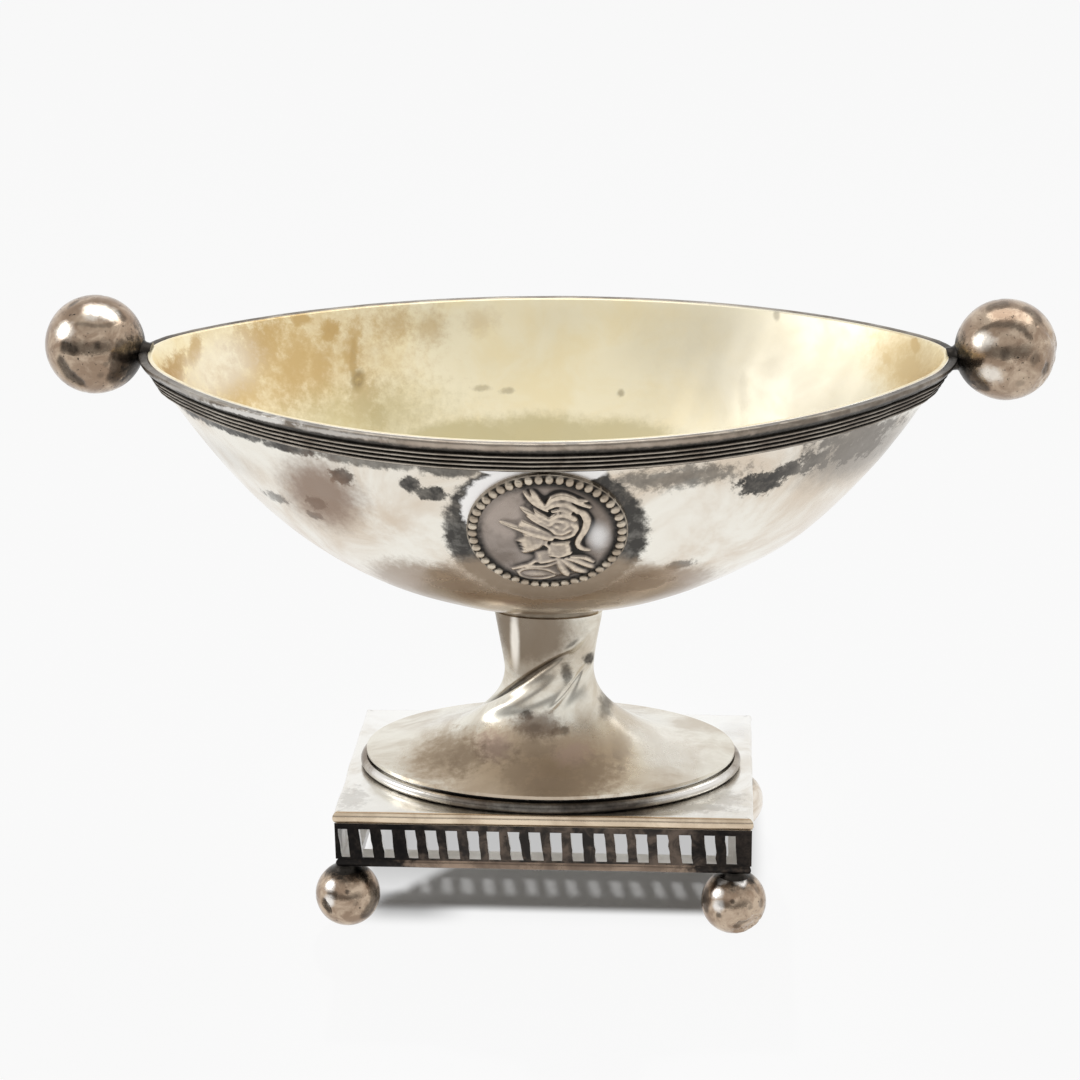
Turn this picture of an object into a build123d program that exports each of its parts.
from build123d import *
import os
from math import atan, atan2, cos, degrees, floor, radians, sin

os.makedirs("parts", exist_ok=True)

# A boat-shaped silver salt cellar on an oval foot and a pierced plinth with four ball feet.
# Millimetres, +Z up, origin on the table under the middle of the plinth, long way along X, front at -Y.

# Ball feet and their solder pins
foot_radius = 4.15
foot_wall = 0.6
worn_flat = 0.1  # worn off the underside of each foot
foot_inset = 1.8  # from the plinth's edges to the middle of a foot
foot_neck_height = 0.25
foot_neck_radius = 1.45
pin_radius = 0.7
pin_tail = 0.8  # what a pin reaches past the wall of its ball

# Plinth: lower rail, pierced gallery, half-round border and top plate
plinth_length = 53.2
plinth_width = 33.5
rail_height = 1.25
rail_width = 2.9
rail_recess = 0.25
gallery_height = 5.0
gallery_wall = 0.8
gallery_recess = 0.45
slot_width = 1.45
slot_height = 3.9
slot_pitch = 2.69
slot_shift = -0.35  # the piercing isn't quite centred between the corners
slot_drop = 0.25  # and sits a little low in the panel
border_height = 1.5
border_width = 1.2
plate_thickness = 0.9
vent_radius = 2.0  # lets hot air out of the hollow foot when it is soldered down

# Oval foot: a round ring, an upright above it, the trumpet, and a tapered collar under the bowl
ring_end_gap = 1.6  # from the plinth's ends to the ring
ring_side_gap = 0.35  # from the plinth's front and back to the ring
ring_height = 1.0
ring_section = 2.6
ring_roundness = 0.45  # radius of the ring's edges as a share of its height
upright_height = 0.8
upright_recess = 0.3  # behind the trumpet's edge
flare_step = 0.8  # the trumpet's edge is set back this far from the ring's
flare_lip = 0.45
flare_sweep = 78.0  # degrees of the flare's quarter ellipse that are used
trumpet_wall = 0.8
waist_length = 11.6
waist_height = 11.85  # above the upright
stem_height = 19.7  # above the upright
stem_top_length = 14.0
stem_ratio = 0.52  # width to length of the stem's oval section
spread_curve = 1.3  # how late the stem spreads above its waist
collar_height = 3.3
collar_inset = 0.5  # of its foot from the stem's top edge
collar_taper = 1.2  # further in at its top

# Bowl
bowl_length = 100.5  # tip to tip at the lip, outside
bowl_width = 66.0
bowl_depth = 29.8  # front lip to the lowest point of the curve
bowl_wall = 0.8
tip_radius = 15.5  # plan radius of the tips
tip_rise = 1.6  # the lip climbs from its front and back to its tips
long_fullness = 2.93
cross_fullness = 3.4
seat_rise = 0.2  # the flat under the bowl is cut this far above the lowest point of the curve

# Reeded rim moulding: one wide bead and a row of fine reeds on a flat strip
strip_thickness = 0.45
bead_height = 1.5
bead_rise = 1.0
bead_start = 40.0  # degrees round the bead where the lip cuts it off
reed_count = 4
reed_pitch = 0.58
reed_rise = 0.8

# Ball terminals at the tips
terminal_radius = 6.25
terminal_wall = 0.6
terminal_lift = 0.55  # middle of a ball above the tip of the lip
terminal_gap = 0.3  # between a ball and the tip of the bowl
terminal_relief = 0.1  # between a ball and the hollow cut for it in the moulding
terminal_neck_radius = 1.5
terminal_neck_drop = 0.7  # the neck meets the moulding this far below the lip
lip_overlap = 0.6  # what the neck reaches in over the lip

# Medallion on the front
medallion_radius = 9.4
medallion_drop = 12.6  # its middle below the front lip
medallion_shift = 1.9  # its middle right of the bowl's
field_rise = 0.5
beading_rise = 1.1
beading_width = 1.3
plaque_reach = 8.0  # how far the round cut for the plaque runs each way

# Sections that the curved pieces are drawn through
bowl_levels = 9
flare_steps = 10
spread_steps = 3
bead_steps = 5
reed_steps = 4
trim_height = 1.0  # the bowl's blank stands this far above the tips before the lip is cut

# Heights, stacked from the table
foot_middle = foot_radius - worn_flat
rail_base = foot_middle + foot_radius + foot_neck_height
gallery_base = rail_base + rail_height
border_base = gallery_base + gallery_height
plate_top = border_base + border_height
ring_top = plate_top + ring_height
flare_base = ring_top + upright_height
stem_top = flare_base + stem_height
seat_height = stem_top + collar_height
bowl_apex = seat_height - seat_rise
lip_front = bowl_apex + bowl_depth
lip_tip = lip_front + tip_rise
lip_tilt = atan2(tip_rise, bowl_width / 2)


def write(piece, name):
    piece.label = name
    export_step(piece, f"parts/{name}.step")


def oval(half_length, half_width, end_radius):
    # Four arcs, tangent where they meet
    side_radius = ((half_length - end_radius) ** 2 + half_width**2 - end_radius**2) / (
        2 * (half_width - end_radius)
    )
    end_middle = half_length - end_radius
    side_middle = side_radius - half_width
    turn = degrees(atan2(side_middle, end_middle))
    with BuildSketch() as outline:
        with BuildLine():
            CenterArc((end_middle, 0), end_radius, -turn, 2 * turn)
            CenterArc((0, -side_middle), side_radius, turn, 180 - 2 * turn)
            CenterArc((-end_middle, 0), end_radius, 180 - turn, 2 * turn)
            CenterArc((0, side_middle), side_radius, 180 + turn, 180 - 2 * turn)
        make_face()
    return outline.sketch


def half_length_at(height, growth=0.0):
    # Power curve from the lowest point up to the tips
    share = (height - bowl_apex + growth) / (lip_tip - bowl_apex + growth)
    return (bowl_length / 2 + growth) * share ** (1 / long_fullness)


def half_width_at(height, growth=0.0):
    # Power curve from the lowest point up to the front lip
    share = (height - bowl_apex + growth) / (lip_front - bowl_apex + growth)
    return (bowl_width / 2 + growth) * share ** (1 / cross_fullness)


def bowl_blank(growth):
    # The bowl's outer form as a solid, grown or shrunk all round
    low = seat_height - growth
    high = lip_tip + trim_height
    with BuildPart() as blank:
        for step in range(bowl_levels):
            height = low + (high - low) * (step / (bowl_levels - 1)) ** 2
            half_length = half_length_at(height, growth)
            end_radius = tip_radius * half_length / (bowl_length / 2)
            with BuildSketch(Plane.XY.offset(height)):
                add(oval(half_length, half_width_at(height, growth), end_radius))
        loft()
    return blank.part


def half_ball(middle, pole, radius, wall, drilled):
    # Half of a hollow ball, on the side that the pole points to, drilled for a pin or plain
    seam = Plane(origin=middle, z_dir=pole)
    with BuildPart() as half:
        with Locations(middle):
            Sphere(radius)
            Sphere(radius - wall, mode=Mode.SUBTRACT)
        split(bisect_by=seam, keep=Keep.TOP)
        if drilled:
            with BuildSketch(seam):
                Circle(pin_radius)
            extrude(amount=radius, mode=Mode.SUBTRACT)
    return half.part


def ball_neck(middle, pole, radius, wall, neck_radius, reach):
    # A neck hollowed to sit on its ball, with a pin through the ball's wall
    seam = Plane(origin=middle, z_dir=pole)
    pin_start = radius - wall - pin_tail
    with BuildPart() as neck:
        with BuildSketch(seam):
            Circle(neck_radius)
        extrude(amount=reach)
        with Locations(middle):
            Sphere(radius, mode=Mode.SUBTRACT)
        with BuildSketch(seam.offset(pin_start)):
            Circle(pin_radius)
        extrude(amount=reach - pin_start)
    return neck.part


def mitred_strip(section, half_length, half_width):
    # A straight strip along the front edge of a rectangle, mitred at both corners
    with BuildPart() as strip:
        with BuildSketch(Plane.YZ.offset(-half_length)):
            add(section)
        extrude(amount=2 * half_length)
        for end in (-1, 1):
            corner = (end * half_length, -half_width, 0)
            split(bisect_by=Plane(origin=corner, z_dir=(end, 1, 0)), keep=Keep.BOTTOM)
    return strip.part


def half_round(outer, base, width, height):
    # Flat at the back, round on the outer edge
    with BuildSketch() as section:
        with BuildLine():
            Polyline(
                (outer + height / 2, base),
                (outer + width, base),
                (outer + width, base + height),
                (outer + height / 2, base + height),
            )
            ThreePointArc(
                (outer + height / 2, base + height),
                (outer, base + height / 2),
                (outer + height / 2, base),
            )
        make_face()
    return section.sketch


# The plinth's four sides: length along the side, depth behind it, and turn about Z
sides = {
    "front": (plinth_length, plinth_width, 0),
    "right": (plinth_width, plinth_length, 90),
    "rear": (plinth_length, plinth_width, 180),
    "left": (plinth_width, plinth_length, 270),
}

# Lower rail, four mitred lengths
for side, (length, width, turn) in sides.items():
    rail_outer = rail_recess - width / 2
    with BuildPart() as rail:
        add(
            mitred_strip(
                half_round(rail_outer, rail_base, rail_width, rail_height),
                length / 2 - rail_recess,
                width / 2 - rail_recess,
            ),
            rotation=(0, 0, turn),
        )
    write(rail.part, f"rail_{side}")

# Pierced gallery, four mitred panels
for side, (length, width, turn) in sides.items():
    gallery_outer = gallery_recess - width / 2
    gallery_length = length - 2 * gallery_recess
    pierced_length = gallery_length - 2 * (gallery_wall + abs(slot_shift)) - slot_width
    slot_count = 1 + floor(pierced_length / slot_pitch)
    with BuildSketch() as panel_section:
        with Locations((gallery_outer, gallery_base)):
            Rectangle(gallery_wall, gallery_height, align=(Align.MIN, Align.MIN))
    with BuildPart() as panel_blank:
        add(mitred_strip(panel_section.sketch, gallery_length / 2, -gallery_outer))
        with BuildSketch(Plane.XZ.offset(-gallery_outer)):
            with Locations((slot_shift, gallery_base + gallery_height / 2 - slot_drop)):
                with GridLocations(slot_pitch, slot_height, slot_count, 1):
                    Rectangle(slot_width, slot_height)
        extrude(amount=-gallery_wall, mode=Mode.SUBTRACT)
    with BuildPart() as panel:
        add(panel_blank.part, rotation=(0, 0, turn))
    write(panel.part, f"gallery_{side}")

# Half-round border of the top plate, four mitred lengths
for side, (length, width, turn) in sides.items():
    with BuildPart() as border:
        add(
            mitred_strip(
                half_round(-width / 2, border_base, border_width, border_height),
                length / 2,
                width / 2,
            ),
            rotation=(0, 0, turn),
        )
    write(border.part, f"border_{side}")

# Top plate, let in flush between the borders
with BuildPart() as plate:
    with BuildSketch(Plane.XY.offset(plate_top - plate_thickness)):
        Rectangle(plinth_length - 2 * border_width, plinth_width - 2 * border_width)
        Circle(vent_radius, mode=Mode.SUBTRACT)
    extrude(amount=plate_thickness)
write(plate.part, "plinth_plate")

# Ball feet: two soldered half shells on a necked pin at each corner
corners = {
    "front_left": (-1, -1),
    "front_right": (1, -1),
    "rear_left": (-1, 1),
    "rear_right": (1, 1),
}
for corner, (toward_x, toward_y) in corners.items():
    foot_at = (
        toward_x * (plinth_length / 2 - foot_inset),
        toward_y * (plinth_width / 2 - foot_inset),
        foot_middle,
    )
    upper = half_ball(foot_at, (0, 0, 1), foot_radius, foot_wall, True)
    write(upper, f"foot_{corner}_upper")
    with BuildPart() as lower:
        add(half_ball(foot_at, (0, 0, -1), foot_radius, foot_wall, False))
        split(bisect_by=Plane.XY, keep=Keep.TOP)
    write(lower.part, f"foot_{corner}_lower")
    foot_reach = foot_radius + foot_neck_height
    foot_neck = ball_neck(foot_at, (0, 0, 1), foot_radius, foot_wall, foot_neck_radius, foot_reach)
    write(foot_neck, f"foot_{corner}_neck")

# Ring around the oval foot, with the upright that carries the trumpet's edge
ring_length = plinth_length - 2 * ring_end_gap
ring_width = plinth_width - 2 * ring_side_gap
upright_inset = flare_step + upright_recess
with BuildPart() as ring:
    with BuildSketch(Plane.XY.offset(plate_top)):
        Ellipse(ring_length / 2, ring_width / 2)
    extrude(amount=ring_height)
    ring_edges = ring.edges().filter_by(GeomType.LINE, reverse=True)
    fillet(ring_edges, radius=ring_roundness * ring_height)
    with BuildSketch(Plane.XY.offset(plate_top)):
        Ellipse(ring_length / 2 - upright_inset, ring_width / 2 - upright_inset)
    extrude(amount=ring_height + upright_height)
    with BuildSketch(Plane.XY.offset(plate_top)):
        Ellipse(ring_length / 2 - ring_section, ring_width / 2 - ring_section)
    extrude(amount=ring_height + upright_height, mode=Mode.SUBTRACT)
write(ring.part, "foot_ring")

edge_half = ring_length / 2 - flare_step
edge_half_width = ring_width / 2 - flare_step
waist_half = waist_length / 2


def trumpet_levels(wall):
    # Half length, half width and height of each level, moved square to the surface by the wall's
    # thickness: a quarter-ellipse flare from the edge up to the waist, then a gentle spread to the top
    flare_reach = (edge_half - waist_half) / (1 - cos(radians(flare_sweep)))
    flare_drop = (waist_height - flare_lip) / sin(radians(flare_sweep))
    waist_half_width = waist_half * stem_ratio
    widening = (edge_half_width - waist_half_width) / (edge_half - waist_half)
    levels = []
    for step in range(flare_steps, -1, -1):
        turn = radians(flare_sweep * step / flare_steps)
        spread = flare_reach * (1 - cos(turn))
        lean = atan2(flare_reach * sin(turn), flare_drop * cos(turn))
        inset = wall * cos(lean)
        height = flare_base + waist_height - flare_drop * sin(turn) - wall * sin(lean)
        levels.append((waist_half + spread - inset, waist_half_width + widening * spread - inset, height))
    for step in range(1, spread_steps + 1):
        share = step / spread_steps
        half = waist_half + (stem_top_length / 2 - waist_half) * share**spread_curve
        height = flare_base + waist_height + (stem_height - waist_height) * share
        levels.append((half - wall, half * stem_ratio - wall, height))
    return levels


def trumpet_blank(wall):
    with BuildPart() as blank:
        for half, half_width, height in trumpet_levels(wall):
            with BuildSketch(Plane.XY.offset(height)):
                Ellipse(half, half_width)
        loft()
    return blank.part


# Trumpet: a hollow flare whose edge has a thin upright lip
with BuildPart() as trumpet:
    with BuildSketch(Plane.XY.offset(flare_base)):
        Ellipse(edge_half, edge_half_width)
    extrude(amount=flare_lip)
    add(trumpet_blank(0.0))
    add(trumpet_blank(trumpet_wall), mode=Mode.SUBTRACT)
write(trumpet.part, "trumpet_foot")

# Collar that narrows from the stem's top edge to the bowl
with BuildPart() as collar:
    for inset, height in ((collar_inset, stem_top), (collar_inset + collar_taper, seat_height)):
        with BuildSketch(Plane.XY.offset(height)):
            Ellipse(stem_top_length / 2 - inset, stem_top_length / 2 * stem_ratio - inset)
    loft()
write(collar.part, "stem_collar")

# Bowl: outer form, hollowed, with the lip cut along two planes that climb to the tips
bowl_outer = bowl_blank(0.0)
cut_half = bowl_width
cut_low = lip_tip - cut_half * tip_rise / (bowl_width / 2)
cut_top = lip_tip + 2 * trim_height
with BuildPart() as above_lip:
    with BuildSketch(Plane.YZ.offset(-bowl_length)):
        with BuildLine():
            Polyline(
                (0, lip_tip),
                (cut_half, cut_low),
                (cut_half, cut_top),
                (-cut_half, cut_top),
                (-cut_half, cut_low),
                close=True,
            )
        make_face()
    extrude(amount=2 * bowl_length)
with BuildPart() as bowl_body:
    add(bowl_outer)
    add(above_lip.part, mode=Mode.SUBTRACT)
with BuildPart() as bowl:
    add(bowl_body.part)
    add(bowl_blank(-bowl_wall), mode=Mode.SUBTRACT)
write(bowl.part, "bowl")

# Middle of the right ball terminal, which also hollows the end of the moulding
ball_x = bowl_length / 2 + terminal_gap + terminal_radius
ball_at = Vector(ball_x, 0, lip_tip + terminal_lift)

# Reeded moulding: depth below the lip and height above the bowl's wall, bead first, then the reeds
moulding_line = []
for step in range(bead_steps):
    swell = sin(radians(bead_start + (180 - bead_start) * step / bead_steps))
    crest = strip_thickness + (bead_rise - strip_thickness) * swell
    moulding_line.append((bead_height * step / bead_steps, crest))
for step in range(reed_count * reed_steps + 1):
    swell = sin(radians(180 * (step % reed_steps) / reed_steps))
    crest = strip_thickness + (reed_rise - strip_thickness) * swell
    moulding_line.append((bead_height + reed_pitch * step / reed_steps, crest))
with BuildPart() as moulding:
    for depth, crest in moulding_line:
        level = Plane(
            origin=(0, 0, lip_tip - depth),
            x_dir=(1, 0, 0),
            z_dir=(0, -sin(lip_tilt), cos(lip_tilt)),
        )
        half_length = half_length_at(lip_tip - depth) + crest
        half_width = (half_width_at(lip_front - depth) + crest) / cos(lip_tilt)
        with BuildSketch(level):
            add(oval(half_length, half_width, tip_radius * half_length / (bowl_length / 2)))
    loft(ruled=True)
    add(bowl_outer, mode=Mode.SUBTRACT)
    with Locations(ball_at, (-ball_at.X, 0, ball_at.Z)):
        Sphere(terminal_radius + terminal_relief, mode=Mode.SUBTRACT)
    split(bisect_by=Plane.XZ, keep=Keep.TOP)
write(moulding.part, "rim_moulding_front")
with BuildPart() as moulding_rear:
    add(moulding.part)
    mirror(about=Plane.XZ, mode=Mode.REPLACE)
write(moulding_rear.part, "rim_moulding_rear")

# Ball terminals: two half shells on a neck that is soldered over each tip
neck_end = Vector(bowl_length / 2, 0, lip_tip - terminal_neck_drop)
toward_bowl = (neck_end - ball_at).normalized()
neck_reach = (neck_end - ball_at).length + lip_overlap
with BuildPart() as terminal_neck:
    add(
        ball_neck(
            ball_at, toward_bowl, terminal_radius, terminal_wall, terminal_neck_radius, neck_reach
        )
    )
    add(bowl_body.part, mode=Mode.SUBTRACT)
    add(moulding.part, mode=Mode.SUBTRACT)
    add(moulding_rear.part, mode=Mode.SUBTRACT)
terminal_pieces = {
    "neck": terminal_neck.part,
    "inner": half_ball(ball_at, toward_bowl, terminal_radius, terminal_wall, True),
    "outer": half_ball(ball_at, -toward_bowl, terminal_radius, terminal_wall, False),
}
for piece_name, piece in terminal_pieces.items():
    with BuildPart() as right_piece:
        add(piece)
    write(right_piece.part, f"terminal_right_{piece_name}")
    with BuildPart() as left_piece:
        add(piece)
        mirror(about=Plane.YZ, mode=Mode.REPLACE)
    write(left_piece.part, f"terminal_left_{piece_name}")

# Medallion: a thin round plaque bent to the bowl's front, with a raised border
medallion_height = lip_front - medallion_drop
wall_share = (medallion_height - bowl_apex) / bowl_depth
wall_slope = bowl_depth * cross_fullness / (bowl_width / 2) * wall_share ** (1 - 1 / cross_fullness)
wall_lean = atan(1 / wall_slope)
medallion_plane = Plane(
    origin=(medallion_shift, -half_width_at(medallion_height), medallion_height),
    x_dir=(1, 0, 0),
    z_dir=(0, -cos(wall_lean), -sin(wall_lean)),
)
with BuildPart() as beading:
    add(bowl_blank(beading_rise))
    with BuildSketch(medallion_plane):
        Circle(medallion_radius)
        Circle(medallion_radius - beading_width, mode=Mode.SUBTRACT)
    extrude(amount=plaque_reach, both=True, mode=Mode.INTERSECT)
with BuildPart() as medallion:
    add(bowl_blank(field_rise))
    with BuildSketch(medallion_plane):
        Circle(medallion_radius)
    extrude(amount=plaque_reach, both=True, mode=Mode.INTERSECT)
    add(beading.part)
    add(bowl_outer, mode=Mode.SUBTRACT)
write(medallion.part, "medallion")
